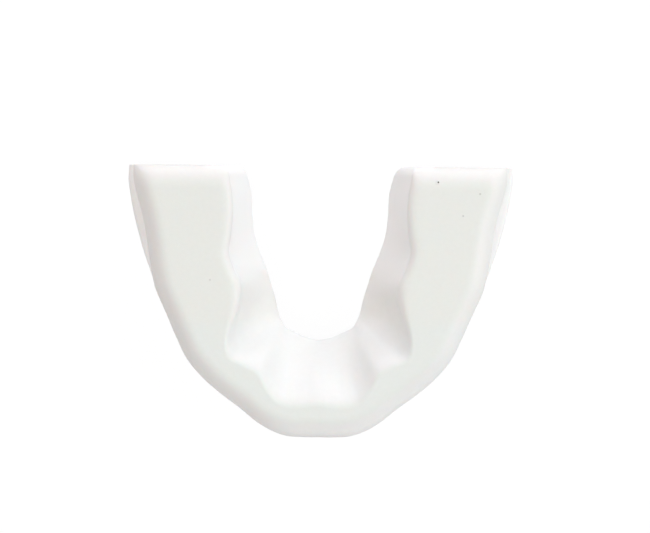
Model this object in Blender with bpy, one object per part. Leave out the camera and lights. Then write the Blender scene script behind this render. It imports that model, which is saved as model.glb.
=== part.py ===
"""Mouthguard, modelled as the one moulded piece that it is.

The guard is a horseshoe swept along the dental arch. Its section is an upside-down trough: an outer flange
with a narrow gum shelf over it, a crown block with a flat bite face, an inner flange, and between the flanges
the channel for the teeth.

Frame: the outer flange stands on z = 0 and the bite face looks up. The front teeth are towards -Y, the
open back ends towards +Y, and X = 0 is the plane of symmetry. Sizes are in millimetres until the mesh is made.
"""

import math
from collections import namedtuple

import bmesh
import bpy
import numpy as np

MM = 0.001

# The whole guard
ARCH_WIDTH = 64.8
ARCH_DEPTH = 45.5
HEIGHT = 18.0
CROWN_HEIGHT = 5.0  # from the gum line, the crease above the flange, up to the bite face

# Outer side of the section
GUM_LINE_DEPTH = 0.3
SHELF_ANGLE = math.radians(11.0)  # the gum shelf falls outwards, from the gum line to the flange
SHELF_ROUND = 0.5
FLANGE_DRAFT = 0.15  # how far the outer flange leans in, from its rim up to the shelf
CREASE_SOFTNESS = 0.5
BULGE_RISE = 1.5  # from the gum line up the crown's straight side, to where its edge rounds over
CROWN_ROUND = 3.5  # how far the rounded outer edge reaches over the bite face

# Walls, rims and the channel
WALL = 2.0
FLOOR_THICKNESS = 4.0
RIM_RADIUS = 0.6
CHANNEL_FILLET = 1.3
FILLET_LIMIT = 0.45  # the most of a narrow face that the fillet at each of its sides may take
SOFT_SHARE_OF_WALL = 0.95  # how much of the inner crown wall, above its foot's bend, its soft edge takes

# Back ends
END_LENGTH = 4.0  # over this length the bite face rolls over, in a quarter ellipse, into the straight cut
END_DROP = 2.6
LEAST_WALL = 0.8  # the inner crown wall stays this high where the bite face rolls over
CORNER_LENGTH = 6.0  # the flanges are cut away towards the back ends
OUTER_CORNER_RISE = 4.4
INNER_CORNER_RISE = 2.0

# Fineness of the mesh
SECTION_SPACING = 1.6
ARC_STEPS = 3
CREASE_STEPS = 2
CROWN_STEPS = 7
SOFT_EDGE_STEPS = 7
END_STEPS = 6
SHARP_ANGLE = math.radians(40.0)

WHITE = (0.86, 0.86, 0.84, 1.0)
ROUGHNESS = 0.42

# The half arch from the midline to the right back end. across and along place the outer outline, as shares of
# half the width and of the depth. heading is the direction of the section, in degrees from +X. The other
# values are millimetres: reach is the whole width of the section seen from above, bite_edge and wall_foot lie
# on that width where the bite face turns down and where the inner crown wall ends, foot_drop is how far that
# wall's foot lies below the bite face, rim is how high the inner flange ends above the outer one, softness is
# how far the edge's rounding reaches back over the bite face, and flare is how far the outer flange stands
# beyond the crown block.
Station = namedtuple(
    "Station",
    "across along heading reach bite_edge wall_foot foot_drop rim softness flare",
)
HALF_ARCH = [
    Station(0.000, 0.000, 90.0, 16.6, 6.1, 9.2, 2.3, 8.0, 0.9, -0.7),  # between the central incisors
    Station(0.079, 0.000, 94.0, 16.9, 5.9, 8.9, 2.3, 8.0, 0.9, -0.7),
    Station(0.161, 0.004, 98.0, 17.3, 5.6, 8.5, 2.2, 8.0, 0.9, -0.7),  # central incisor
    Station(0.244, 0.024, 104.0, 17.2, 5.4, 8.2, 2.2, 8.0, 0.9, -0.7),
    Station(0.312, 0.052, 109.5, 16.7, 5.9, 8.5, 2.2, 8.0, 0.9, -0.7),  # lateral incisor
    Station(0.413, 0.109, 120.0, 15.8, 6.9, 9.3, 2.2, 7.8, 0.8, -0.7),
    Station(0.503, 0.156, 130.0, 16.1, 6.7, 9.1, 2.2, 7.5, 0.8, -0.7),
    Station(0.601, 0.216, 141.0, 16.8, 6.1, 8.4, 2.3, 7.0, 0.8, -0.7),  # canine
    Station(0.682, 0.284, 151.0, 17.6, 8.0, 8.9, 2.5, 6.8, 0.9, -0.7),
    Station(0.745, 0.374, 161.0, 18.1, 10.9, 11.3, 2.7, 6.8, 1.6, -0.6),
    Station(0.792, 0.451, 168.0, 18.6, 12.7, 13.1, 2.6, 6.9, 1.9, -0.4),  # first premolar
    Station(0.840, 0.526, 173.0, 19.3, 14.0, 14.4, 2.2, 7.6, 2.1, -0.1),
    Station(0.885, 0.614, 179.0, 20.0, 14.1, 14.5, 1.8, 9.0, 1.9, 0.4),
    Station(0.918, 0.680, 180.0, 20.0, 14.4, 14.7, 1.6, 10.2, 2.0, 1.0),  # second premolar
    Station(0.943, 0.741, 180.0, 19.9, 15.5, 15.8, 1.5, 11.0, 1.9, 1.4),
    Station(0.969, 0.812, 180.0, 20.3, 16.6, 16.9, 1.4, 11.4, 1.9, 1.6),  # first molar
    Station(0.992, 0.895, 180.0, 20.9, 17.2, 17.5, 1.4, 11.4, 2.1, 1.3),
    Station(1.000, 0.939, 180.0, 21.1, 17.1, 17.4, 1.4, 11.4, 2.0, 1.1),
    Station(0.996, 1.000, 180.0, 21.1, 16.5, 16.8, 1.4, 11.4, 1.9, 0.9),  # back end
]

Arch = namedtuple("Arch", "distance values slopes")
Corners = namedtuple(
    "Corners",
    "outer_rim shelf crease bulge edge foot inner_rim"
    " inner_lip inner_floor outer_floor outer_shoulder outer_hollow outer_lip",
)


def clear_scene():
    for thing in list(bpy.data.objects):
        bpy.data.objects.remove(thing, do_unlink=True)


def mirrored(station):
    return station._replace(across=-station.across, heading=180.0 - station.heading)


def whole_arch():
    """Both halves' stations in millimetres, with the distance along the outer outline and the slopes there."""
    values = np.array([mirrored(station) for station in HALF_ARCH[:0:-1]] + HALF_ARCH)
    values[:, 0] *= ARCH_WIDTH / 2
    values[:, 1] = (values[:, 1] - 0.5) * ARCH_DEPTH
    steps = np.hypot(np.diff(values[:, 0]), np.diff(values[:, 1]))
    distance = np.concatenate([[0.0], np.cumsum(steps)])
    return Arch(distance, values, np.gradient(values, distance, axis=0))


def station_at(arch, place):
    """The section's values at one place along the outline, on a cubic curve through all the stations."""
    i = min(max(np.searchsorted(arch.distance, place) - 1, 0), len(arch.distance) - 2)
    span = arch.distance[i + 1] - arch.distance[i]
    t = (place - arch.distance[i]) / span
    return Station(
        *(2 * t**3 - 3 * t**2 + 1) * arch.values[i]
        + (t**3 - 2 * t**2 + t) * span * arch.slopes[i]
        + (3 * t**2 - 2 * t**3) * arch.values[i + 1]
        + (t**3 - t**2) * span * arch.slopes[i + 1]
    )


def section_places(length):
    """Distances along the outline: close together where the ends roll over, evenly spaced between."""
    turns = [math.pi / 2 * step / END_STEPS for step in range(END_STEPS + 1)]
    end = [END_LENGTH * (1 - math.cos(turn)) for turn in turns]
    count = round((length - 2 * END_LENGTH) / SECTION_SPACING)
    middle = np.linspace(END_LENGTH, length - END_LENGTH, count + 1)[1:-1]
    return end + list(middle) + [length - place for place in reversed(end)]


def bite_height(from_end):
    """The bite face is flat, and rolls over at the back ends."""
    share = max(0.0, 1 - from_end / END_LENGTH)
    return HEIGHT - END_DROP * (1 - math.sqrt(1 - share**2))


def rim_rise(from_end, corner_rise):
    """How far a flange's corner is cut away, in a curve, near the back end."""
    share = max(0.0, 1 - from_end / CORNER_LENGTH)
    return corner_rise * share**2


def towards(start, end, length):
    """The point that lies the given length from start on the way to end."""
    share = length / math.dist(start, end)
    return (start[0] + (end[0] - start[0]) * share, start[1] + (end[1] - start[1]) * share)


def bend(start, corner, end, steps):
    """Points on the soft curve from start to end that is drawn by their corner."""
    points = []
    for step in range(steps + 1):
        t = step / steps
        mix = (1 - t) ** 2 * np.array(start) + 2 * t * (1 - t) * np.array(corner) + t**2 * np.array(end)
        points.append(tuple(mix))
    return points


def rounded(before, corner, after, radius, steps):
    """Points on the soft curve that takes a corner off, up to the radius along each of its sides."""
    return bend(towards(corner, before, radius), corner, towards(corner, after, radius), steps)


def inside_at(height, edge, foot, rim):
    """How far in the inner surface lies at a height, on the way from the bite edge over the foot to the rim."""
    return float(np.interp(height, [rim[1], foot[1], edge[1]], [rim[0], foot[0], edge[0]]))


def section_corners(station, from_end):
    """The corners of one section before they are softened, as (distance inward, height)."""
    rise = rim_rise(from_end, OUTER_CORNER_RISE)
    gum_line = HEIGHT - CROWN_HEIGHT
    crown_start = max(0.0, station.flare)
    flange_start = max(0.0, -station.flare)
    crease = (max(crown_start, flange_start) + GUM_LINE_DEPTH, gum_line)
    shelf_start = flange_start + FLANGE_DRAFT
    shelf = (shelf_start, gum_line - (crease[0] - shelf_start) * math.tan(SHELF_ANGLE))
    outer_rim = (flange_start + FLANGE_DRAFT * rise / shelf[1], rise)

    edge = (station.bite_edge, bite_height(from_end))
    foot = (station.wall_foot, min(HEIGHT - station.foot_drop, edge[1] - LEAST_WALL))
    full_rim = (station.reach, station.rim)
    rim_height = station.rim + rim_rise(from_end, INNER_CORNER_RISE)
    inner_rim = (inside_at(rim_height, edge, foot, full_rim), rim_height)

    slant = math.dist(foot, full_rim) / (foot[1] - full_rim[1])
    wall_across = WALL * slant
    floor = HEIGHT - FLOOR_THICKNESS
    return Corners(
        outer_rim=outer_rim,
        shelf=shelf,
        crease=crease,
        bulge=(crown_start, gum_line + BULGE_RISE),
        edge=edge,
        foot=foot,
        inner_rim=inner_rim,
        inner_lip=(inner_rim[0] - wall_across, rim_height),
        inner_floor=(inside_at(floor, edge, foot, full_rim) - wall_across, floor),
        outer_floor=(crown_start + CROWN_ROUND, floor),
        outer_shoulder=(crease[0] + WALL, gum_line),
        outer_hollow=(shelf[0] + WALL, shelf[1] - WALL),
        outer_lip=(outer_rim[0] + WALL, rise),
    )


def outer_side(at):
    """From the outer flange's lip round its rim, up and over the gum shelf, and over the crown's rounded edge."""
    radius = min(RIM_RADIUS, FILLET_LIMIT * math.dist(at.outer_lip, at.outer_rim))
    points = rounded(at.outer_hollow, at.outer_lip, at.outer_rim, radius, ARC_STEPS)
    points += rounded(at.outer_lip, at.outer_rim, at.shelf, radius, ARC_STEPS)
    shelf_limit = FILLET_LIMIT * math.dist(at.shelf, at.crease)
    points += rounded(at.outer_rim, at.shelf, at.crease, min(SHELF_ROUND, shelf_limit), CREASE_STEPS)
    points += rounded(at.shelf, at.crease, at.bulge, min(CREASE_SOFTNESS, shelf_limit), CREASE_STEPS)
    for step in range(CROWN_STEPS + 1):
        turn = math.pi / 2 * step / CROWN_STEPS
        inward = at.bulge[0] + CROWN_ROUND * (1 - math.cos(turn))
        height = at.bulge[1] + (at.edge[1] - at.bulge[1]) * math.sin(turn)
        points.append((inward, height))
    return points


def inner_side(at, softness):
    """From the bite face over its soft edge, down the crown wall and the inner flange, and round its rim."""
    wall_length = math.dist(at.edge, at.foot)
    foot_radius = min(CREASE_SOFTNESS, FILLET_LIMIT * wall_length)
    soft_end = towards(at.edge, at.foot, SOFT_SHARE_OF_WALL * (wall_length - foot_radius))
    points = bend((at.edge[0] - softness, at.edge[1]), at.edge, soft_end, SOFT_EDGE_STEPS)
    points += rounded(at.edge, at.foot, at.inner_rim, foot_radius, CREASE_STEPS)
    radius = min(RIM_RADIUS, FILLET_LIMIT * math.dist(at.inner_rim, at.inner_lip))
    points += rounded(at.foot, at.inner_rim, at.inner_lip, radius, ARC_STEPS)
    points += rounded(at.inner_rim, at.inner_lip, at.inner_floor, radius, ARC_STEPS)
    return points


def channel(at):
    """From the inner flange over the channel's floor to the outer flange's shoulder and hollow."""
    inner_fillet = min(CHANNEL_FILLET, FILLET_LIMIT * math.dist(at.inner_lip, at.inner_floor))
    outer_fillet = min(CHANNEL_FILLET, FILLET_LIMIT * math.dist(at.outer_floor, at.outer_shoulder))
    points = rounded(at.inner_lip, at.inner_floor, at.outer_floor, inner_fillet, ARC_STEPS)
    points += rounded(at.inner_floor, at.outer_floor, at.outer_shoulder, outer_fillet, ARC_STEPS)
    points += [at.outer_shoulder, at.outer_hollow]
    return points


def section_ring(station, from_end):
    """One section's points in the guard's own frame."""
    at = section_corners(station, from_end)
    heading = math.radians(station.heading)
    inward = (math.cos(heading), math.sin(heading))
    return [
        (station.across + inward[0] * depth, station.along + inward[1] * depth, height)
        for depth, height in outer_side(at) + inner_side(at, station.softness) + channel(at)
    ]


def guard_mesh():
    """The sections joined ring to ring, from the left back end to the right one, and closed at both."""
    arch = whole_arch()
    length = arch.distance[-1]
    guard = bmesh.new()
    rings = []
    for place in section_places(length):
        ring = section_ring(station_at(arch, place), min(place, length - place))
        rings.append([guard.verts.new([MM * value for value in point]) for point in ring])
    for ring, following in zip(rings[:-1], rings[1:]):
        for i in range(len(ring)):
            guard.faces.new((ring[i - 1], ring[i], following[i], following[i - 1]))
    guard.faces.new(rings[0][::-1])
    guard.faces.new(rings[-1])
    bmesh.ops.recalc_face_normals(guard, faces=guard.faces)
    mesh = bpy.data.meshes.new("mouthguard")
    guard.to_mesh(mesh)
    guard.free()
    return mesh


def guard_material():
    material = bpy.data.materials.new("white moulded plastic")
    material.use_nodes = True
    finish = material.node_tree.nodes["Principled BSDF"]
    finish.inputs["Base Color"].default_value = WHITE
    finish.inputs["Roughness"].default_value = ROUGHNESS
    finish.inputs["Metallic"].default_value = 0.0
    return material


def build_mouthguard():
    mesh = guard_mesh()
    mesh.materials.append(guard_material())
    mesh.shade_smooth()
    mesh.set_sharp_from_angle(angle=SHARP_ANGLE)
    guard = bpy.data.objects.new("mouthguard", mesh)
    bpy.context.scene.collection.objects.link(guard)
    return guard


clear_scene()
build_mouthguard()
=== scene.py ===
# %% [markdown]
# A white moulded mouthguard
#
# This lesson dresses one moulded piece: a horseshoe that fits over a row of teeth. It lies with its flat bite
# face up, as it was photographed, and its tooth channel is underneath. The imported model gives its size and
# place, and everything here is drawn inside that box.

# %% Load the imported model
import math
from collections import namedtuple

import bmesh
import bpy
import numpy as np
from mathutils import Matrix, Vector


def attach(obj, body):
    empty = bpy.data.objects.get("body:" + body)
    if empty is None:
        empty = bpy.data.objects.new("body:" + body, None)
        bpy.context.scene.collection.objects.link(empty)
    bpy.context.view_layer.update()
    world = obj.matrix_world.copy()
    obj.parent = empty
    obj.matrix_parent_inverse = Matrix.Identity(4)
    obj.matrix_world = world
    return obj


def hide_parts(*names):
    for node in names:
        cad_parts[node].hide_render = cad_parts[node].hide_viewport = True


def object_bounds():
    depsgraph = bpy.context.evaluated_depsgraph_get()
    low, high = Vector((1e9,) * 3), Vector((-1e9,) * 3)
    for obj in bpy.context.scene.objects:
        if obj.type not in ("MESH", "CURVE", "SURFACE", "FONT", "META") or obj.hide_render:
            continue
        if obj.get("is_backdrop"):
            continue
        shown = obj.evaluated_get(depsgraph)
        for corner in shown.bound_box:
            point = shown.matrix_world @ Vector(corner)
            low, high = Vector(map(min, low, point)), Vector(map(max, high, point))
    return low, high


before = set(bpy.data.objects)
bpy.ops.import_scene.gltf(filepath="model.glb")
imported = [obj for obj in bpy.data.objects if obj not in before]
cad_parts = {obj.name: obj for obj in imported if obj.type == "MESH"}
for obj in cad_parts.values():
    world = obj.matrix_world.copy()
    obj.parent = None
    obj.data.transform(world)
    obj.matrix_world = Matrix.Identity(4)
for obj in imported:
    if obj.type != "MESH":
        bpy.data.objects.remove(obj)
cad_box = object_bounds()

MM = 0.001
print("nodes in the frame:", sorted(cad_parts))

# %% [markdown]
# The camera
#
# The photograph looks straight down on the bite face, as if from about 1.2 m through a long lens, and the
# guard lies turned by about half a degree. A camera that looks straight down needs no aiming: its place
# over the guard and its focal length alone set the framing. The focal length follows from how much of the
# bite plane the picture takes in.

# %% Place the camera
PICTURE_SIZE = (650, 533)
MM_PER_PIXEL = 0.1671  # in the plane of the bite face
CAMERA_HEIGHT = 1200 * MM
BITE_PLANE = 18.0 * MM
SENSOR_WIDTH = 36.0
PICTURE_CENTRE = (0.90 * MM, 5.93 * MM)
CAMERA_ROLL = math.radians(0.6)

picture_width = PICTURE_SIZE[0] * MM_PER_PIXEL * MM
lens = bpy.data.cameras.new("long lens")
lens.sensor_width = SENSOR_WIDTH
lens.lens = SENSOR_WIDTH * CAMERA_HEIGHT / picture_width
camera = bpy.data.objects.new("camera", lens)
camera.location = (*PICTURE_CENTRE, BITE_PLANE + CAMERA_HEIGHT)
camera.rotation_euler = (0.0, 0.0, CAMERA_ROLL)
bpy.context.scene.collection.objects.link(camera)
bpy.context.scene.camera = camera
print("focal length:", round(lens.lens), "mm")

# %% [markdown]
# The arch
#
# Teeth stand in an arch, and a guard's section changes from the incisors to the molars. Measured, that
# takes a table: where the outer outline runs, which way the section points, and where its corners lie.
# Only the right half is in the table, because the guard is symmetric.

# %% The half arch, from the midline to the right back end
ARCH_WIDTH = 64.8
ARCH_DEPTH = 45.5

# across and along are shares of half the width and of the depth. heading is in degrees from +X. The rest is
# in millimetres: reach is the section's whole width, bite_edge and wall_foot are where the bite face turns
# down and where the inner crown wall ends, foot_drop is how deep that foot lies, rim is how high the inner
# flange ends above the outer one, softness is how far the edge's rounding reaches back over the bite face,
# flare is how far the outer flange stands beyond the crown, and relax softens the crease at the foot.
Station = namedtuple(
    "Station",
    "across along heading reach bite_edge wall_foot foot_drop rim softness flare relax",
)
HALF_ARCH = [
    Station(0.000, 0.000, 90.0, 16.6, 6.1, 9.2, 2.3, 8.0, 0.9, -0.7, 2.0),  # between the central incisors
    Station(0.079, 0.000, 94.0, 16.9, 5.9, 8.9, 2.3, 8.0, 0.9, -0.7, 2.0),
    Station(0.161, 0.004, 98.0, 17.3, 5.6, 8.5, 2.2, 8.0, 0.9, -0.7, 2.0),  # central incisor
    Station(0.244, 0.024, 104.0, 17.2, 5.4, 8.2, 2.2, 8.0, 0.9, -0.7, 2.0),
    Station(0.312, 0.052, 109.5, 16.7, 5.9, 8.5, 2.2, 8.0, 0.9, -0.7, 2.0),  # lateral incisor
    Station(0.413, 0.109, 120.0, 15.8, 6.9, 9.3, 2.2, 7.8, 0.8, -0.7, 2.0),
    Station(0.503, 0.156, 130.0, 16.1, 6.7, 9.1, 2.2, 7.5, 0.8, -0.7, 2.0),
    Station(0.601, 0.216, 141.0, 16.8, 6.1, 8.4, 2.3, 7.0, 0.8, -0.7, 2.0),  # canine
    Station(0.682, 0.284, 151.0, 17.6, 8.0, 8.9, 2.5, 6.8, 0.9, -0.7, 1.4),
    Station(0.745, 0.374, 161.0, 18.1, 10.9, 11.3, 2.7, 6.8, 1.6, -0.6, 0.7),
    Station(0.792, 0.451, 168.0, 18.6, 12.7, 13.1, 2.6, 6.9, 1.9, -0.4, 0.5),  # first premolar
    Station(0.840, 0.526, 173.0, 19.3, 14.0, 14.4, 2.2, 7.6, 2.1, -0.1, 0.4),
    Station(0.885, 0.614, 179.0, 20.0, 14.1, 14.5, 1.8, 9.0, 1.9, 0.4, 0.3),
    Station(0.918, 0.680, 180.0, 20.0, 14.4, 14.7, 1.6, 10.2, 2.0, 1.0, 0.2),  # second premolar
    Station(0.943, 0.741, 180.0, 19.9, 15.5, 15.8, 1.5, 11.0, 1.9, 1.4, 0.2),
    Station(0.969, 0.812, 180.0, 20.3, 16.6, 16.9, 1.4, 11.4, 1.9, 1.6, 0.2),  # first molar
    Station(0.992, 0.895, 180.0, 20.9, 17.2, 17.5, 1.4, 11.4, 2.1, 1.3, 0.2),
    Station(1.000, 0.939, 180.0, 21.1, 17.1, 17.4, 1.4, 11.4, 2.0, 1.1, 0.2),
    Station(0.996, 1.000, 180.0, 21.1, 16.5, 16.8, 1.4, 11.4, 1.9, 0.9, 0.2),  # back end
]


def mirrored(station):
    return station._replace(across=-station.across, heading=180.0 - station.heading)


def whole_arch():
    """Both halves' stations in millimetres, with the distance along the outline and the slopes there."""
    values = np.array([mirrored(station) for station in HALF_ARCH[:0:-1]] + HALF_ARCH)
    values[:, 0] *= ARCH_WIDTH / 2
    values[:, 1] = (values[:, 1] - 0.5) * ARCH_DEPTH
    steps = np.hypot(np.diff(values[:, 0]), np.diff(values[:, 1]))
    distance = np.concatenate([[0.0], np.cumsum(steps)])
    return distance, values, np.gradient(values, distance, axis=0)


distance, station_values, station_slopes = whole_arch()
OUTLINE_LENGTH = distance[-1]
print("outline:", round(OUTLINE_LENGTH, 1), "mm round")

# %% [markdown]
# Rows along the arch
#
# The surface is a grid: each row is one section, and each column runs along the arch. A cubic curve through
# the stations gives every row its own values. They are stored as attributes on a plain line of points, which
# the node tree reads row by row. Rows crowd together at the back ends, where the bite face rolls over.

# %% Make the arch line
END_LENGTH = 4.0
END_STEPS = 20
ROW_SPACING = 0.32


def row_places():
    """Distances along the outline, one for each row."""
    turns = np.linspace(0.0, math.pi / 2, END_STEPS + 1)
    end = END_LENGTH * (1 - np.cos(turns))
    count = round((OUTLINE_LENGTH - 2 * END_LENGTH) / ROW_SPACING)
    middle = np.linspace(END_LENGTH, OUTLINE_LENGTH - END_LENGTH, count + 1)[1:-1]
    return np.concatenate([end, middle, OUTLINE_LENGTH - end[::-1]])


def values_at(places):
    """Every station value at each place, on the cubic curve through the stations."""
    i = np.clip(np.searchsorted(distance, places) - 1, 0, len(distance) - 2)
    span = (distance[i + 1] - distance[i])[:, None]
    t = (places - distance[i])[:, None] / span
    return (
        (2 * t**3 - 3 * t**2 + 1) * station_values[i]
        + (t**3 - 2 * t**2 + t) * span * station_slopes[i]
        + (3 * t**2 - 2 * t**3) * station_values[i + 1]
        + (t**3 - t**2) * span * station_slopes[i + 1]
    )


def point_line(name, points, attributes):
    """An object that holds a line of points with named values on them, for a node tree to read."""
    mesh = bpy.data.meshes.new(name)
    mesh.from_pydata([tuple(point) for point in points], [], [])
    for key, values in attributes.items():
        layer = mesh.attributes.new(key, "FLOAT", "POINT")
        layer.data.foreach_set("value", np.asarray(values, np.float32))
    line = bpy.data.objects.new(name, mesh)
    bpy.context.scene.collection.objects.link(line)
    return line


places = row_places()
rows = values_at(places)
heading = np.radians(rows[:, 2])
row_attributes = {
    name: rows[:, column] * MM
    for column, name in enumerate(Station._fields)
    if name not in ("across", "along", "heading")
}
row_attributes["inward_x"] = np.cos(heading)
row_attributes["inward_y"] = np.sin(heading)
row_attributes["from_end"] = np.minimum(places, OUTLINE_LENGTH - places) * MM
arch_line = point_line(
    "arch line",
    np.column_stack([rows[:, 0], rows[:, 1], np.zeros(len(rows))]) * MM,
    row_attributes,
)
print("rows:", len(rows))

# %% [markdown]
# Columns round the section
#
# The section is an upside-down trough with thirteen corners. Each corner is softened by a bend from its start
# over its corner to its end, and a straight run leads on to the next one. A bend is a parabola, and the
# crown's big outer edge is a quarter of an ellipse. Both are the same sum with other weights, so each column
# stores two weights, and how far it is along the run.

# %% Make the section steps
# Each corner's name, the steps in its bend, and the steps of the run to the next corner.
SECTION_STEPS = [
    ("outer lip", 6, 2),
    ("outer rim", 6, 12),
    ("shelf", 6, 3),
    ("crease", 6, 3),
    ("crown", 20, 20),
    ("bite edge", 12, 3),
    ("foot", 8, 24),
    ("inner rim", 6, 2),
    ("inner lip", 6, 14),
    ("inner floor", 8, 8),
    ("outer floor", 8, 6),
    ("outer shoulder", 3, 4),
    ("outer hollow", 3, 10),
]
CROWN = [name for name, bend, run in SECTION_STEPS].index("crown")


def column_values():
    """For each column: its corner, the weights of its bend, and its share of the run."""
    columns = []
    for corner, (name, bend, run) in enumerate(SECTION_STEPS):
        for step in range(bend + 1):
            t = step / bend
            if corner == CROWN:
                weights = (math.sin(t * math.pi / 2), 1 - math.cos(t * math.pi / 2))
            else:
                weights = (2 * t - t**2, t**2)
            columns.append((corner, *weights, 0.0))
        columns += [(corner, 1.0, 1.0, step / run) for step in range(1, run)]
    columns.append(columns[0])
    return np.array(columns)


columns = column_values()
section_steps = point_line(
    "section steps",
    np.zeros((len(columns), 3)),
    dict(zip(("corner", "to_corner", "to_end", "onward"), columns.T)),
)
print("columns:", len(columns), "so", 2 * len(rows) * len(columns), "triangles")

# %% [markdown]
# Arithmetic with nodes
#
# The corners are worked out inside the node tree, so that each size stays an input that can be changed.
# Placing some four hundred nodes one by one would hide the rule, so a small class stands for a socket:
# adding or multiplying two of them places the node that does it. The same helpers build the material
# further down.

# %% A socket that can be calculated with
class Quantity:
    """A number or a vector in a node tree. Arithmetic on it places the matching node."""

    def __init__(self, tree, socket):
        self.tree, self.socket = tree, socket

    def vector(self):
        return self.socket.type == "VECTOR"

    def place(self, kind, *inputs, output=0, **settings):
        return place(self.tree, kind, *inputs, output=output, **settings)

    def combine(self, operation, other):
        if self.vector():
            return self.place("ShaderNodeVectorMath", self, other, operation=operation)
        return self.place("ShaderNodeMath", self, other, operation=operation)

    def __add__(self, other):
        return self.combine("ADD", other)

    def __sub__(self, other):
        return self.combine("SUBTRACT", other)

    def __rsub__(self, other):
        return self.place("ShaderNodeMath", other, self, operation="SUBTRACT")

    def __mul__(self, other):
        if self.vector() and not (isinstance(other, Quantity) and other.vector()):
            return self.place("ShaderNodeVectorMath", self, other, operation="SCALE")
        return self.combine("MULTIPLY", other)

    def __truediv__(self, other):
        return self.combine("DIVIDE", other)

    def function(self, operation, *others):
        return self.place("ShaderNodeMath", self, *others, operation=operation)

    def part(self, axis):
        return self.place("ShaderNodeSeparateXYZ", self, output=axis)


def place(tree, kind, *inputs, output=0, **settings):
    """Adds a node, joins or sets its inputs in order, and gives one of its outputs."""
    node = tree.nodes.new(kind)
    for name, value in settings.items():
        setattr(node, name, value)
    sockets = [socket for socket in node.inputs if socket.enabled]
    for socket, value in zip(sockets, inputs):
        if isinstance(value, Quantity):
            tree.links.new(value.socket, socket)
        elif value is not None:
            socket.default_value = value
    outputs = [socket for socket in node.outputs if socket.enabled]
    return Quantity(tree, outputs[output])


def smaller(a, b):
    return a.function("MINIMUM", b)


def larger(a, b):
    return a.function("MAXIMUM", b)


def gap(start, end):
    """The length from one point to another."""
    between = end - start
    return between.place("ShaderNodeVectorMath", between, operation="LENGTH")


def towards(start, end, length):
    """The point that lies the given length from start on the way to end."""
    between = end - start
    return start + between.place("ShaderNodeVectorMath", between, operation="NORMALIZE") * length


# %% [markdown]
# The sizes
#
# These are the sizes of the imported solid, repeated here because the surface is drawn from them again. Each
# becomes a named input of the tree. Lengths are in millimetres, and slopes and shares are plain numbers.

# %% Sizes that the tree takes as inputs
SIZES = {
    "Height": 18.0,
    "Crown height": 5.0,
    "Gum line depth": 0.3,
    "Shelf round": 0.5,
    "Flange draft": 0.15,
    "Crease softness": 0.5,
    "Bulge rise": 1.5,
    "Crown round": 3.5,
    "Wall": 2.0,
    "Floor thickness": 4.0,
    "Rim radius": 0.6,
    "Channel fillet": 1.3,
    "Shoulder softness": 0.8,
    "End length": END_LENGTH,
    "End drop": 2.6,
    "Least wall": 0.8,
    "Corner length": 6.0,
    "Outer corner rise": 4.4,
    "Inner corner rise": 2.0,
    "Trim round": 0.15,
    "Waviness": 0.05,
    "Wave length": 9.0,
}
SHARES = {
    "Shelf slope": math.tan(math.radians(11.0)),
    "Fillet limit": 0.45,  # the most of a run that the bend at each of its ends may take
    "Soft share of wall": 0.95,  # of the inner crown wall above its foot's bend, taken by its soft edge
    "Seed": 3.0,
}
MERGE_DISTANCE = 0.001 * MM
print("named inputs:", len(SIZES) + len(SHARES))


# %% [markdown]
# The section's corners
#
# Seen along the arch, a point of the section has a depth, from the outer outline inwards, and a height. The
# function below is the guard's design: the flange stands on its rim, a narrow gum shelf leads to the crease
# under the crown, and the bite face ends in a wall that runs down to the inner flange.

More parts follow.
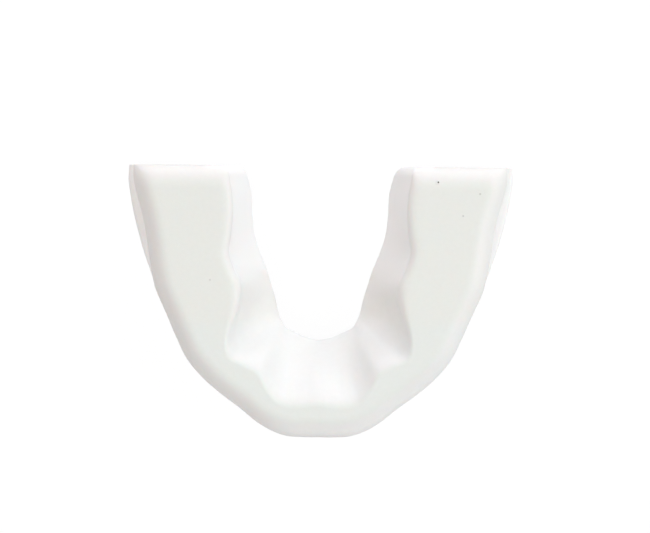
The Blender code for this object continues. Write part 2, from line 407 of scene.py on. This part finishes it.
# %% Work out the corners as vectors of depth and height
def section_corners(tree, row, size):
    """Each corner as its start, its corner and its end, in the order of SECTION_STEPS."""

    def point(depth, height):
        return place(tree, "ShaderNodeCombineXYZ", depth, height, 0.0)

    def depth_on_way(height, start, end):
        """The depth of the straight line from start to end, at a height."""
        share = (height - start.part(1)) / (end.part(1) - start.part(1))
        return start.part(0) + (end.part(0) - start.part(0)) * share

    def rounded(before, corner, after, radius):
        radius = smaller(radius, smaller(gap(before, corner), gap(corner, after)) * size["Fillet limit"])
        return towards(corner, before, radius), corner, towards(corner, after, radius)

    top = size["Height"]
    gum_line = top - size["Crown height"]
    floor = top - size["Floor thickness"]
    to_go = larger(1.0 - row["from_end"] / size["Corner length"], 0.0)
    rise = size["Outer corner rise"] * to_go * to_go
    rolled = larger(1.0 - row["from_end"] / size["End length"], 0.0)
    bite_height = top - size["End drop"] * (1.0 - (1.0 - rolled * rolled).function("SQRT"))

    crown_start = larger(row["flare"], 0.0)
    flange_start = larger(0.0 - row["flare"], 0.0)
    crease = point(larger(crown_start, flange_start) + size["Gum line depth"], gum_line)
    shelf_start = flange_start + size["Flange draft"]
    shelf = point(shelf_start, gum_line - (crease.part(0) - shelf_start) * size["Shelf slope"])
    outer_rim = point(flange_start + size["Flange draft"] * rise / shelf.part(1), rise)
    bulge = point(crown_start, gum_line + size["Bulge rise"])
    crown = point(crown_start, bite_height)
    crown_end = point(crown_start + size["Crown round"], bite_height)

    edge = point(row["bite_edge"], bite_height)
    foot = point(row["wall_foot"], smaller(top - row["foot_drop"], bite_height - size["Least wall"]))
    full_rim = point(row["reach"], row["rim"])
    rim_height = row["rim"] + size["Inner corner rise"] * to_go * to_go
    inner_rim = point(depth_on_way(rim_height, foot, full_rim), rim_height)

    wall_across = size["Wall"] * gap(foot, full_rim) / (foot.part(1) - full_rim.part(1))
    inner_lip = inner_rim - point(wall_across, 0.0)
    above_foot = (floor - foot.part(1)).function("GREATER_THAN", 0.0)
    on_wall = depth_on_way(floor, edge, foot)
    on_flange = depth_on_way(floor, foot, full_rim)
    inner_floor = point(on_flange + (on_wall - on_flange) * above_foot - wall_across, floor)
    outer_floor = point(crown_start + size["Crown round"], floor)
    outer_shoulder = crease + point(size["Wall"], 0.0)
    outer_hollow = point(shelf.part(0) + size["Wall"], shelf.part(1) - size["Wall"])
    outer_lip = outer_rim + point(size["Wall"], 0.0)

    relaxed = smaller(row["relax"], smaller(gap(edge, foot), gap(foot, inner_rim)) * size["Fillet limit"])
    soft_edge = towards(edge, foot, (gap(edge, foot) - relaxed) * size["Soft share of wall"])
    return [
        rounded(outer_hollow, outer_lip, outer_rim, size["Rim radius"]),
        rounded(outer_lip, outer_rim, shelf, size["Rim radius"]),
        rounded(outer_rim, shelf, crease, size["Shelf round"]),
        rounded(shelf, crease, bulge, size["Crease softness"]),
        (bulge, crown, crown_end),
        (edge - point(row["softness"], 0.0), edge, soft_edge),
        rounded(edge, foot, inner_rim, row["relax"]),
        rounded(foot, inner_rim, inner_lip, size["Rim radius"]),
        rounded(inner_rim, inner_lip, inner_floor, size["Rim radius"]),
        rounded(inner_lip, inner_floor, outer_floor, size["Channel fillet"]),
        rounded(inner_floor, outer_floor, outer_shoulder, size["Channel fillet"]),
        rounded(outer_floor, outer_shoulder, outer_hollow, size["Shoulder softness"]),
        rounded(outer_shoulder, outer_hollow, outer_lip, size["Shoulder softness"]),
    ]


# %% [markdown]
# Marks of the mould
#
# A few shallow marks show in the side light: a hollow at the foot of each premolar wall, deeper on the
# right, a faint ridge between the middle incisors, and a small crescent behind them. Each is a soft bump,
# high in its middle and fading out to its spread. A bump map would lose them at a low angle, so they move
# the surface itself.

# %% List the marks
Mark = namedtuple("Mark", "name place spread height")  # millimetres; a negative height is a hollow
MARKS = [
    Mark("left premolar hollow", (-10.8, -1.0, 10.3), (2.0, 2.2, 4.0), -0.35),
    Mark("right premolar hollow", (10.8, -1.0, 10.3), (2.0, 2.2, 4.0), -0.75),
    Mark("incisor ridge", (1.2, -17.2, 17.6), (0.4, 1.2, 1.0), 0.04),
    Mark("crescent", (0.4, -11.7, 11.0), (1.1, 0.35, 3.0), 0.06),
]


def mark_height(tree, position, mark):
    """How far a mark lifts each point, on a bell curve round its place."""
    apart = position - tuple(value * MM for value in mark.place)
    spread = tuple(value * MM for value in mark.spread)
    shares = place(tree, "ShaderNodeVectorMath", apart, spread, operation="DIVIDE")
    squared = place(tree, "ShaderNodeVectorMath", shares, shares, operation="DOT_PRODUCT")
    return (squared * -1.0).function("EXPONENT") * (mark.height * MM)


print("marks:", ", ".join(mark.name for mark in MARKS))

# %% [markdown]
# The tree
#
# A grid of points is moved into place in steps. First each point goes to its corner, bend or run. Then the
# trimmed ends are rounded by pulling their last rows into the body, along the surface's normal. Last come
# the marks and the slight waviness of a moulded skin. The waves only go inwards, so the guard never grows
# past its box.

# %% Build the tree
LEAST_SINK = 0.5  # noise runs from 0 to 1, so the skin sinks by 0.5 to 1.5 times the waviness


def grid_ends(tree, geometry, material):
    """Closes the tree: one mesh, smooth, with its material."""
    geometry = place(tree, "GeometryNodeRemoveAttribute", geometry, "from_end")
    geometry = place(tree, "GeometryNodeSetShadeSmooth", geometry)
    geometry = place(tree, "GeometryNodeRealizeInstances", geometry)
    return place(tree, "GeometryNodeSetMaterial", geometry, None, material)


def guard_tree():
    tree = bpy.data.node_groups.new("swept guard", "GeometryNodeTree")
    tree.interface.new_socket("Geometry", in_out="OUTPUT", socket_type="NodeSocketGeometry")
    sockets = {
        "Arch line": "NodeSocketObject",
        "Section steps": "NodeSocketObject",
        "Rows": "NodeSocketInt",
        "Columns": "NodeSocketInt",
        "Material": "NodeSocketMaterial",
        **{name: "NodeSocketFloat" for name in (*SIZES, *SHARES)},
    }
    for name, kind in sockets.items():
        tree.interface.new_socket(name, in_out="INPUT", socket_type=kind)
    entry = tree.nodes.new("NodeGroupInput")
    given = {socket.name: Quantity(tree, socket) for socket in entry.outputs if socket.name}

    grid = place(tree, "GeometryNodeMeshGrid", 1.0, 1.0, given["Rows"], given["Columns"])
    index = place(tree, "GeometryNodeInputIndex")
    row_number = (index / given["Columns"]).function("FLOOR")
    column_number = index - row_number * given["Columns"]

    def read(line, key, number, kind="FLOAT"):
        geometry = place(tree, "GeometryNodeObjectInfo", given[line], output=4)
        if key == "position":
            value = place(tree, "GeometryNodeInputPosition")
        else:
            value = place(tree, "GeometryNodeInputNamedAttribute", key, data_type="FLOAT")
        return place(tree, "GeometryNodeSampleIndex", geometry, value, number, data_type=kind)

    row = {key: read("Arch line", key, row_number) for key in row_attributes}
    outline = read("Arch line", "position", row_number, "FLOAT_VECTOR")
    step = {
        key: read("Section steps", key, column_number)
        for key in ("corner", "to_corner", "to_end", "onward")
    }

    corners = section_corners(tree, row, given)
    following = [start for start, corner, end in corners[1:] + corners[:1]]

    def at_corner(points):
        switch = tree.nodes.new("GeometryNodeIndexSwitch")
        switch.data_type = "VECTOR"
        while len(switch.index_switch_items) < len(points):
            switch.index_switch_items.new()
        tree.links.new(step["corner"].socket, switch.inputs[0])
        for socket, point in zip(switch.inputs[1:], points):
            tree.links.new(point.socket, socket)
        return Quantity(tree, switch.outputs[0])

    start, corner, end = (at_corner(points) for points in zip(*corners))
    bent = start + (corner - start) * step["to_corner"] + (end - corner) * step["to_end"]
    profile = bent + (at_corner(following) - bent) * step["onward"]
    inward = place(tree, "ShaderNodeCombineXYZ", row["inward_x"], row["inward_y"], 0.0)
    upward = place(tree, "ShaderNodeCombineXYZ", 0.0, 0.0, profile.part(1))
    placed = outline + inward * profile.part(0) + upward
    swept = place(tree, "GeometryNodeSetPosition", grid, None, placed)
    kept = place(tree, "GeometryNodeStoreNamedAttribute", swept, None, "from_end", row["from_end"])
    joined = place(tree, "GeometryNodeMergeByDistance", kept, None, MERGE_DISTANCE)

    from_end = place(tree, "GeometryNodeInputNamedAttribute", "from_end", data_type="FLOAT")
    normal = place(tree, "GeometryNodeInputNormal")
    across = place(tree, "ShaderNodeCombineXYZ", normal.part(0), 0.0, normal.part(2))
    across = place(tree, "ShaderNodeVectorMath", across, operation="NORMALIZE")
    trim = given["Trim round"]
    into = larger(trim - from_end, 0.0)
    trimmed_by = trim - (trim * trim - into * into).function("SQRT")
    trimmed = place(tree, "GeometryNodeSetPosition", joined, None, None, across * (0.0 - trimmed_by))

    position = place(tree, "GeometryNodeInputPosition")
    lifted_by = mark_height(tree, position, MARKS[0])
    for mark in MARKS[1:]:
        lifted_by = lifted_by + mark_height(tree, position, mark)
    in_waves = position * place(tree, "ShaderNodeMath", 1.0, given["Wave length"], operation="DIVIDE")
    waves = place(tree, "ShaderNodeTexNoise", in_waves, given["Seed"], 1.0, noise_dimensions="4D")
    away_from_ends = smaller(from_end / given["End length"], 1.0)
    sunk_by = (waves + LEAST_SINK) * given["Waviness"] * away_from_ends
    wavy = place(tree, "GeometryNodeSetPosition", trimmed, None, None, normal * (lifted_by - sunk_by))
    closed = grid_ends(tree, wavy, given["Material"])
    leave = tree.nodes.new("NodeGroupOutput")
    tree.links.new(closed.socket, leave.inputs[0])
    return tree


tree = guard_tree()
print("nodes in the tree:", len(tree.nodes))

# %% [markdown]
# From nodes to a plain mesh
#
# A modifier carries the tree on an object of its own, and its inputs are set by their identifiers. The result
# is then copied out as a plain mesh, and the helpers are removed. The plastic's material is only named here,
# because the tree has to set it. Its nodes come later.

# %% Run the tree
plastic = bpy.data.materials.new("white soft plastic")
carrier = bpy.data.objects.new("carrier", bpy.data.meshes.new("carrier"))
bpy.context.scene.collection.objects.link(carrier)
modifier = carrier.modifiers.new("swept guard", "NODES")
modifier.node_group = tree
inputs = {
    "Arch line": arch_line,
    "Section steps": section_steps,
    "Rows": len(rows),
    "Columns": len(columns),
    "Material": plastic,
    **{name: value * MM for name, value in SIZES.items()},
    **SHARES,
}
for item in tree.interface.items_tree:
    if item.in_out == "INPUT":
        modifier[item.identifier] = inputs[item.name]

evaluated = carrier.evaluated_get(bpy.context.evaluated_depsgraph_get())
mesh = bpy.data.meshes.new_from_object(evaluated)
for helper in (carrier, arch_line, section_steps):
    bpy.data.objects.remove(helper)
print("vertices:", len(mesh.vertices), "faces:", len(mesh.polygons))

# %% [markdown]
# The two back ends
#
# A sweep leaves a tube that is open at both ends. The real guard was trimmed square there, so each opening
# gets one flat face. It is cut into triangles, because a face with over two hundred corners that bends
# round a trough can be shaded wrongly. The cap is shaded smoothly into the rounded trim, but a sharp fold
# beside it is kept as an edge, or the smooth shading would smear there.


# %% Close the back ends
CAP_FOLD = math.radians(50.0)  # a fold at the cut that is sharper than this is shaded as an edge


def close_ends(mesh):
    """Fills the ring of open edges at each back end with one flat face, cut into triangles."""
    guard = bmesh.new()
    guard.from_mesh(mesh)
    open_edges = [edge for edge in guard.edges if edge.is_boundary]
    filled = bmesh.ops.holes_fill(guard, edges=open_edges, sides=0)["faces"]
    print("caps:", len(filled), "open edges:", len(open_edges))
    caps = bmesh.ops.triangulate(guard, faces=filled)["faces"]
    for edge in {edge for face in caps for edge in face.edges}:
        edge.smooth = edge.calc_face_angle(0.0) < CAP_FOLD
    if guard.calc_volume(signed=True) < 0:
        bmesh.ops.reverse_faces(guard, faces=guard.faces)
        print("turned the faces outwards")
    loose = sum(not edge.is_manifold for edge in guard.edges)
    print("volume:", round(guard.calc_volume() / MM**3), "cubic mm; edges that aren't closed:", loose)
    guard.to_mesh(mesh)
    guard.free()


close_ends(mesh)
mesh.materials.clear()
mesh.materials.append(plastic)
mesh.polygons.foreach_set("material_index", np.zeros(len(mesh.polygons), np.int32))
guard = bpy.data.objects.new("moulded_mouthguard", mesh)
bpy.context.scene.collection.objects.link(guard)
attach(guard, "root")
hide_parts("mouthguard")
print("guard spans:", [round(side / MM, 2) for side in guard.dimensions], "mm")

# %% [markdown]
# The skin of soft plastic
#
# Soft plastic that was pressed against a mould isn't a mirror. It has a fine peel about a quarter of a
# millimetre across, a finer grain on top of it, and cloudy patches of about a millimetre where it set a
# little denser. All three are noise at different sizes. A shader node group keeps them together, with the
# sizes as inputs, and puts out a height in metres.


# %% Make the skin group
# The noise texture's own settings. The size comes in through the position, so its scale is 1.
NOISE_SCALE = 1.0
NOISE_DETAIL = 1.0  # one finer layer on top of the coarse one
PEEL_ROUGHNESS, GRAIN_ROUGHNESS, CLOUD_ROUGHNESS = 1.0, 2.0, 2.0  # how much the finer layer counts


def shader_group(name, inputs, outputs):
    """An empty shader group with named sockets. Gives the tree, its inputs as quantities, and its exit."""
    tree = bpy.data.node_groups.new(name, "ShaderNodeTree")
    for direction, sockets in (("INPUT", inputs), ("OUTPUT", outputs)):
        for socket, kind in sockets.items():
            tree.interface.new_socket(socket, in_out=direction, socket_type=f"NodeSocket{kind}")
    entry = tree.nodes.new("NodeGroupInput")
    given = {socket.name: Quantity(tree, socket) for socket in entry.outputs if socket.name}
    return tree, given, tree.nodes.new("NodeGroupOutput")


def noise(tree, position, size, roughness):
    """Noise whose blobs are about as wide as the given size."""
    scaled = position * place(tree, "ShaderNodeMath", 1.0, size, operation="DIVIDE")
    return place(tree, "ShaderNodeTexNoise", scaled, NOISE_SCALE, NOISE_DETAIL, roughness)


def skin_group():
    tree, given, leave = shader_group(
        "moulded skin",
        {
            "Position": "Vector",
            "Peel size": "Float",
            "Peel height": "Float",
            "Grain size": "Float",
            "Grain height": "Float",
            "Cloud size": "Float",
        },
        {"Height": "Float", "Clouds": "Float", "Wear": "Float"},
    )
    peel = noise(tree, given["Position"], given["Peel size"], PEEL_ROUGHNESS)
    grain = noise(tree, given["Position"], given["Grain size"], GRAIN_ROUGHNESS)
    clouds = noise(tree, given["Position"], given["Cloud size"], CLOUD_ROUGHNESS)
    height = peel * given["Peel height"] + grain * given["Grain height"]
    tree.links.new(height.socket, leave.inputs["Height"])
    tree.links.new(clouds.socket, leave.inputs["Clouds"])
    tree.links.new(((peel + clouds) * 0.5).socket, leave.inputs["Wear"])
    return tree


skin = skin_group()
print("skin group nodes:", len(skin.nodes))

# %% [markdown]
# Specks and pinholes
#
# The bite face has one pinhole near a back end, whose black is painted shade inside the hole, and a few
# faint specks. A speck is a ball round a place: inside the ball the mask is 1, and it fades out at the rim.
# One group makes any speck, and the material places it several times.


# %% Make the speck group
SPECK_CORE = 0.6  # the mask is 1 within this share of a speck's radius


def speck_group():
    tree, given, leave = shader_group(
        "speck", {"Position": "Vector", "Place": "Vector", "Radius": "Float"}, {"Mask": "Float"}
    )
    away = gap(given["Position"], given["Place"]) / given["Radius"]
    mask = place(
        tree, "ShaderNodeMapRange", away, SPECK_CORE, 1.0, 1.0, 0.0, interpolation_type="SMOOTHSTEP"
    )
    tree.links.new(mask.socket, leave.inputs["Mask"])
    return tree


speck = speck_group()
print("speck group nodes:", len(speck.nodes))

# %% [markdown]
# The white plastic
#
# The guard is opaque white, and its shadows are warm. The warmth comes from light that wanders a short way
# through the soft plastic, red the farthest, so the shader has a little subsurface scattering. The colour
# changes in zones that fade into each other. The bite face is painted a little duller and greener than the
# crown's sides, a painted tint of the light that falls on it from above. The flanges of the arms are painted
# whiter, a painted light as if the white table's light shone through the thin plastic. The front is tinted a
# little cooler. The gloss is satin: it varies with the skin, and specks are dull.

# %% Build the plastic
Speck = namedtuple("Speck", "name place radius depth")  # millimetres; depth is the share of black
SPECKS = [
    # the pinhole's black is painted shade inside the hole; its dip is a bump
    Speck("pinhole", (19.7, 20.2, 17.82), 0.16, 0.98),  # where the bite face begins to roll over
    Speck("soiled rim of the pinhole", (19.5, 20.1, 17.84), 0.48, 0.08),
    Speck("speck by the outer edge", (26.7, 18.3, 17.9), 0.22, 0.22),
    Speck("speck on the right molars", (23.9, 14.6, 18.0), 0.20, 0.25),
    Speck("speck on the left premolars", (-18.3, 3.5, 18.0), 0.22, 0.15),
]
PURE_WHITE = (1.0, 1.0, 1.0, 1.0)
BRIGHT_PATCH = (0.882, 0.870, 0.850, 1.0)
DULL_PATCH = (0.855, 0.846, 0.822, 1.0)
# painted light: the bite face's tint of the light from above
BITE_FACE_PAINTED_LIGHT_TINT = (0.973, 1.003, 0.985, 1.0)
# painted light: the flanges' whiter glow, as if light shone through the thin plastic
FLANGE_PAINTED_LIGHT = (0.945, 0.935, 0.925, 1.0)
FRONT_TINT = (0.988, 1.004, 1.015, 1.0)
# Where the zones fade in, in millimetres: heights, places along the arms, and distances from the midline.
FACE_HEIGHTS = (17.6, 17.9)  # the crown's side turns into the bite face
OUTER_FLANGE_HEIGHTS = (14.6, 13.4)
INNER_FLANGE_HEIGHTS = (17.0, 16.5)
INNER_FLANGE_PLACES = (20.0, 18.0)  # the arms' inner sides
FLANGE_PAINTED_LIGHT_PLACES = (0.0, 7.0)  # the flanges' painted light fades in behind this
FRONT_PLACES = (-2.0, -5.0)  # and the front's cooler tint fades in beyond this
SPECK_AND_PINHOLE_SHADE_BROWN = (0.030, 0.024, 0.018, 1.0)
PINHOLE_DEPTH = 0.15 * MM
PEEL_SIZE, PEEL_HEIGHT = 0.24 * MM, 0.010 * MM
GRAIN_SIZE, GRAIN_HEIGHT = 0.032 * MM, 0.002 * MM
CLOUD_SIZE = 1.2 * MM
WEAR_SPAN = (0.3, 0.7)
ROUGHNESS_SPAN = (0.42, 0.54)  # what the span of wear becomes
DULLEST = 0.9
SHADER_VALUES = {
    "Subsurface Weight": 0.2,
    "Subsurface Radius": (1.0, 0.55, 0.4),
    "Subsurface Scale": 1.2 * MM,
    "IOR": 1.48,
}


def group_node(tree, group, **values):
    """Places a group and sets or joins its inputs, given by name with _ for a space."""
    node = tree.nodes.new("ShaderNodeGroup")
    node.node_tree = group
    for name, value in values.items():
        socket = node.inputs[name.replace("_", " ")]
        if isinstance(value, Quantity):
            tree.links.new(value.socket, socket)
        else:
            socket.default_value = value
    return {socket.name: Quantity(tree, socket) for socket in node.outputs}


def mixed(tree, factor, first, second, blend="MIX"):
    return place(tree, "ShaderNodeMix", factor, first, second, data_type="RGBA", blend_type=blend)


def fade(tree, value, ends):
    """A mask that goes softly from 0 at the first end to 1 at the second, both in millimetres."""
    start, stop = (end * MM for end in ends)
    return place(tree, "ShaderNodeMapRange", value, start, stop, 0.0, 1.0, interpolation_type="SMOOTHSTEP")


def finish_plastic(material):
    material.use_nodes = True
    tree = material.node_tree
    shader = tree.nodes["Principled BSDF"]
    position = place(tree, "ShaderNodeTexCoord", output=3)
    across, along, up = (position.part(axis) for axis in range(3))
    from_middle = across.function("ABSOLUTE")
    skin_values = group_node(
        tree,
        skin,
        Position=position,
        Peel_size=PEEL_SIZE,
        Peel_height=PEEL_HEIGHT,
        Grain_size=GRAIN_SIZE,
        Grain_height=GRAIN_HEIGHT,
        Cloud_size=CLOUD_SIZE,
    )
    colour = mixed(tree, skin_values["Clouds"], BRIGHT_PATCH, DULL_PATCH)
    # painted light: the bite face is tinted duller and greener by the light from above
    colour = mixed(tree, fade(tree, up, FACE_HEIGHTS), colour, BITE_FACE_PAINTED_LIGHT_TINT, "MULTIPLY")
    inner_flange = fade(tree, up, INNER_FLANGE_HEIGHTS) * fade(tree, from_middle, INNER_FLANGE_PLACES)
    flanges = larger(fade(tree, up, OUTER_FLANGE_HEIGHTS), inner_flange)
    # painted light: the flanges of the arms are painted whiter, as if light shone through them
    colour = mixed(tree, flanges * fade(tree, along, FLANGE_PAINTED_LIGHT_PLACES), colour, FLANGE_PAINTED_LIGHT)
    colour = mixed(tree, fade(tree, along, FRONT_PLACES), colour, FRONT_TINT, "MULTIPLY")

    masks = []
    for mark in SPECKS:
        middle = tuple(value * MM for value in mark.place)
        values = group_node(tree, speck, Position=position, Place=middle, Radius=mark.radius * MM)
        masks.append(values["Mask"])
    dirt_and_pinhole_shade = masks[0] * SPECKS[0].depth
    for mask, mark in zip(masks[1:], SPECKS[1:]):
        dirt_and_pinhole_shade = larger(dirt_and_pinhole_shade, mask * mark.depth)
    # the pinhole's black is painted shade inside the hole, mixed with the faint specks
    colour = mixed(tree, dirt_and_pinhole_shade, colour, SPECK_AND_PINHOLE_SHADE_BROWN)
    gloss = place(tree, "ShaderNodeMapRange", skin_values["Wear"], *WEAR_SPAN, *ROUGHNESS_SPAN)
    roughness = smaller(gloss + dirt_and_pinhole_shade, DULLEST)
    height = skin_values["Height"] - masks[0] * PINHOLE_DEPTH  # the first speck is the pinhole
    bump = place(tree, "ShaderNodeBump", 1.0, 1.0, None, height)
    tree.links.new(colour.socket, shader.inputs["Base Color"])
    tree.links.new(roughness.socket, shader.inputs["Roughness"])
    tree.links.new(bump.socket, shader.inputs["Normal"])
    for name, value in SHADER_VALUES.items():
        shader.inputs[name].default_value = value


finish_plastic(plastic)
print("plastic nodes:", len(plastic.node_tree.nodes))

# %% [markdown]
# A white table
#
# The photograph's ground is pure white with hardly a shadow. A plain white floor would still come out light
# grey under soft light, so the camera sees it as if it shone a little, with only a small share of the real
# shading. All other rays meet an ordinary white table, which throws light back up into the guard.


# %% Make the floor
FLOOR_SIZE = 6.0  # metres
FLOOR_CELLS = 8
TABLE_WHITE = (0.80, 0.80, 0.80, 1.0)
TABLE_ROUGHNESS = 0.7
GLOW = 1.04
GLOW_SHARE = 0.92  # of what the camera sees, the rest being the table's real shading


def add_floor():
    bpy.ops.mesh.primitive_grid_add(size=FLOOR_SIZE, x_subdivisions=FLOOR_CELLS, y_subdivisions=FLOOR_CELLS)
    floor = bpy.context.object
    floor.name = "floor"
    floor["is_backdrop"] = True
    table = bpy.data.materials.new("white table")
    table.use_nodes = True
    tree = table.node_tree
    shader = tree.nodes["Principled BSDF"]
    shader.inputs["Base Color"].default_value = TABLE_WHITE
    shader.inputs["Roughness"].default_value = TABLE_ROUGHNESS
    glow = place(tree, "ShaderNodeEmission", PURE_WHITE, GLOW)
    seen = place(tree, "ShaderNodeLightPath", output=0) * GLOW_SHARE
    both = place(tree, "ShaderNodeMixShader", seen, Quantity(tree, shader.outputs[0]), glow)
    tree.links.new(both.socket, tree.nodes["Material Output"].inputs["Surface"])
    floor.data.materials.append(table)
    return floor


floor = add_floor()
print("floor:", [round(side, 1) for side in floor.dimensions], "m")

# %% [markdown]
# Soft studio light
#
# The guard was lit from the upper right of the picture through large softboxes, in a room that fills the
# shadows from all round. So there is one softbox at the right, a long one low behind the back ends, one
# high at the front left, a weak one low in front, and a faint, even room light.

# %% Hang the softboxes
Softbox = namedtuple("Softbox", "name azimuth elevation width height power colour")  # degrees, metres, watts
SOFTBOXES = [
    Softbox("right softbox", 0, 40, 0.5, 0.5, 2.9, (0.93, 1.0, 1.0)),
    Softbox("long back softbox", 92, 15, 1.5, 0.5, 6.0, (0.945, 0.95, 1.0)),
    Softbox("overhead softbox", 225, 65, 0.5, 0.5, 2.1, (1.0, 0.975, 0.89)),
    Softbox("low front fill", 270, 15, 0.5, 0.5, 1.06, (0.90, 0.905, 1.0)),
]
SOFTBOX_DISTANCE = 0.8
ROOM_COLOUR = (1.0, 0.92, 0.945, 1.0)
ROOM_STRENGTH = 0.27


def hang_softbox(box):
    light = bpy.data.lights.new(box.name, "AREA")
    light.shape = "RECTANGLE"
    light.size, light.size_y = box.width, box.height
    light.energy = box.power
    light.color = box.colour
    lamp = bpy.data.objects.new(box.name, light)
    azimuth, elevation = math.radians(box.azimuth), math.radians(box.elevation)
    level = math.cos(elevation)
    direction = Vector((level * math.cos(azimuth), level * math.sin(azimuth), math.sin(elevation)))
    lamp.location = direction * SOFTBOX_DISTANCE
    lamp.rotation_euler = direction.to_track_quat("Z", "Y").to_euler()
    lamp.visible_camera = False
    bpy.context.scene.collection.objects.link(lamp)


def light_room():
    """An even room light. The camera itself sees plain white where the floor ends."""
    world = bpy.data.worlds.new("room")
    bpy.context.scene.world = world
    world.use_nodes = True
    tree = world.node_tree
    room = tree.nodes["Background"]
    room.inputs["Color"].default_value = ROOM_COLOUR
    room.inputs["Strength"].default_value = ROOM_STRENGTH
    seen = place(tree, "ShaderNodeLightPath", output=0)
    plain = place(tree, "ShaderNodeBackground", PURE_WHITE, 1.0)
    both = place(tree, "ShaderNodeMixShader", seen, Quantity(tree, room.outputs[0]), plain)
    tree.links.new(both.socket, tree.nodes["World Output"].inputs["Surface"])


for box in SOFTBOXES:
    hang_softbox(box)
light_room()
bpy.context.scene.view_settings.view_transform = "Standard"
print("softboxes:", ", ".join(box.name for box in SOFTBOXES))

# %% [markdown]
# Sizes
#
# The visible guard has to stay inside the imported model's box, so both boxes are printed.

# %% Print the sizes and finish
model_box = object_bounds()
boxes = {"cad": [list(corner) for corner in cad_box], "model": [list(corner) for corner in model_box]}
for name, box in boxes.items():
    print(name, "box:", [[round(value / MM, 3) for value in corner] for corner in box], "mm")
